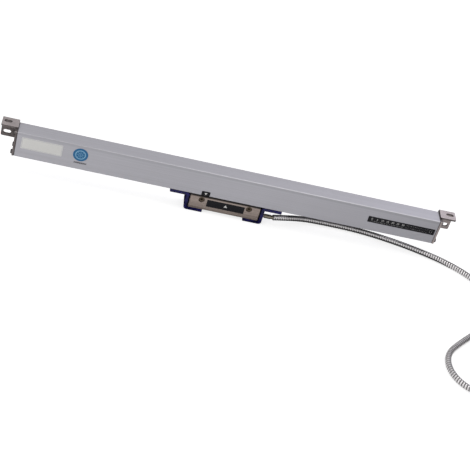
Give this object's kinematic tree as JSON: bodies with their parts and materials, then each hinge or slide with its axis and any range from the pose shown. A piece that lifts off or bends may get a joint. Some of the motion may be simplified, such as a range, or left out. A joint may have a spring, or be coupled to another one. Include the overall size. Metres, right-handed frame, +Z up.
{
  "type": "linear glass scale",
  "caption": "Sealed linear position encoder: glass scale in an aluminium housing, scanning head below it, armoured cable and plug.",
  "frame": {"origin": "midway between the two slots of the brackets' back flanges, on the plane that lies against the machine", "axes": "+X along the scale to the right, +Y to the back into the machine, +Z up"},
  "size_m": [0.618, 0.2244, 0.0523],
  "materials": {
    "anodised": "silver anodised extrusion, fine lengthwise brushing",
    "plated_sheet": "nickel plated sheet",
    "screw_steel": "plated steel screws",
    "black_screw": "dull nickel cap screws",
    "black_rubber": "black seal rubber",
    "clear_silicone": "translucent silicone bead",
    "scale_glass": "glass with a chrome line pattern",
    "head_nickel": "warm nickel plated die casting",
    "blade_steel": "ground stainless steel",
    "carriage_plastic": "black glass-filled plastic",
    "bearing_steel": "polished bearing steel",
    "circuit_board": "green circuit board",
    "chip_black": "dark sensor chips",
    "lamp_clear": "clear lamp body",
    "clip_blue": "navy blue coated steel",
    "label_white": "blank off-white label",
    "label_blue": "round blue label with a plain ring",
    "label_black": "black printed label with plain ticks",
    "fitting_nickel": "nickel plated brass fitting",
    "armoured_hose": "stainless spiral armour over a signal cable",
    "plug_plastic": "black moulded hood",
    "plug_metal": "tinned plug shell",
    "pin_gold": "gilt contact pins"
  },
  "bodies": {
    "housing_body": {"housing": "anodised", "glass_scale": "scale_glass", "glass_bond": "clear_silicone", "front_lip": "black_rubber", "rear_lip": "black_rubber", "left_gasket": "black_rubber", "right_gasket": "black_rubber", "left_bracket": "plated_sheet", "right_bracket": "plated_sheet", "left_end_screws": "screw_steel", "right_end_screws": "screw_steel", "type_label": "label_white", "round_label": "label_blue", "ruler_label": "label_black", "position_marker": "label_black"},
    "head_body": {"head_block": "head_nickel", "head_cover": "head_nickel", "cover_screws": "screw_steel", "signal_board": "circuit_board", "head_label": "label_black", "mount_screws": "black_screw", "drive_blade": "blade_steel", "coupling_wire": "blade_steel", "carriage": "carriage_plastic", "roller_pins": "blade_steel", "index_grating": "scale_glass", "detector_board": "circuit_board", "detector_chips": "chip_black", "lamp": "lamp_clear", "left_clip": "clip_blue", "right_clip": "clip_blue", "clip_screws": "screw_steel", "cable_nipple": "fitting_nickel", "cable": "armoured_hose", "cable_coil": "armoured_hose", "cable_tail": "armoured_hose", "plug_boot": "black_rubber", "plug_hood": "plug_plastic", "plug_shell": "plug_metal", "plug_insert": "plug_plastic", "plug_pins": "pin_gold"},
    "left_edge_roller": {"left_edge_roller": "bearing_steel"},
    "right_edge_roller": {"right_edge_roller": "bearing_steel"},
    "left_face_roller": {"left_face_roller": "bearing_steel"},
    "right_face_roller": {"right_face_roller": "bearing_steel"},
    "left_thumbscrew": {"left_thumbscrew": "screw_steel"},
    "right_thumbscrew": {"right_thumbscrew": "screw_steel"}
  },
  "joints": [
    {"name": "head_slide", "type": "slide", "parent": "housing_body", "child": "head_body", "axis": [1, 0, 0], "range_m": [-0.149, 0.151]},
    {"name": "left_edge_roll", "type": "hinge", "parent": "head_body", "child": "left_edge_roller", "pos_m": [-0.018, -0.0088, -0.0046], "axis": [0, 1, 0], "range_deg": [-3500, 3500]},
    {"name": "left_face_roll", "type": "hinge", "parent": "head_body", "child": "left_face_roller", "pos_m": [-0.018, -0.0124, 0.0025], "axis": [0, 0, 1], "range_deg": [-3500, 3500]},
    {"name": "right_edge_roll", "type": "hinge", "parent": "head_body", "child": "right_edge_roller", "pos_m": [0.016, -0.0088, -0.0046], "axis": [0, 1, 0], "range_deg": [-3500, 3500]},
    {"name": "right_face_roll", "type": "hinge", "parent": "head_body", "child": "right_face_roller", "pos_m": [0.016, -0.0124, 0.0025], "axis": [0, 0, 1], "range_deg": [-3500, 3500]},
    {"name": "left_thumb_turn", "type": "hinge", "parent": "head_body", "child": "left_thumbscrew", "pos_m": [0.3509, -0.06, -0.0276], "axis": [0, 1, 0], "continuous": true},
    {"name": "right_thumb_turn", "type": "hinge", "parent": "head_body", "child": "right_thumbscrew", "pos_m": [0.3759, -0.06, -0.0276], "axis": [0, 1, 0], "continuous": true}
  ],
  "couplings": [
    {"joint": "left_edge_roll", "follows": "head_slide", "rad_per_m": -400},
    {"joint": "left_face_roll", "follows": "head_slide", "rad_per_m": 400},
    {"joint": "right_edge_roll", "follows": "head_slide", "rad_per_m": -400},
    {"joint": "right_face_roll", "follows": "head_slide", "rad_per_m": 400}
  ]
}
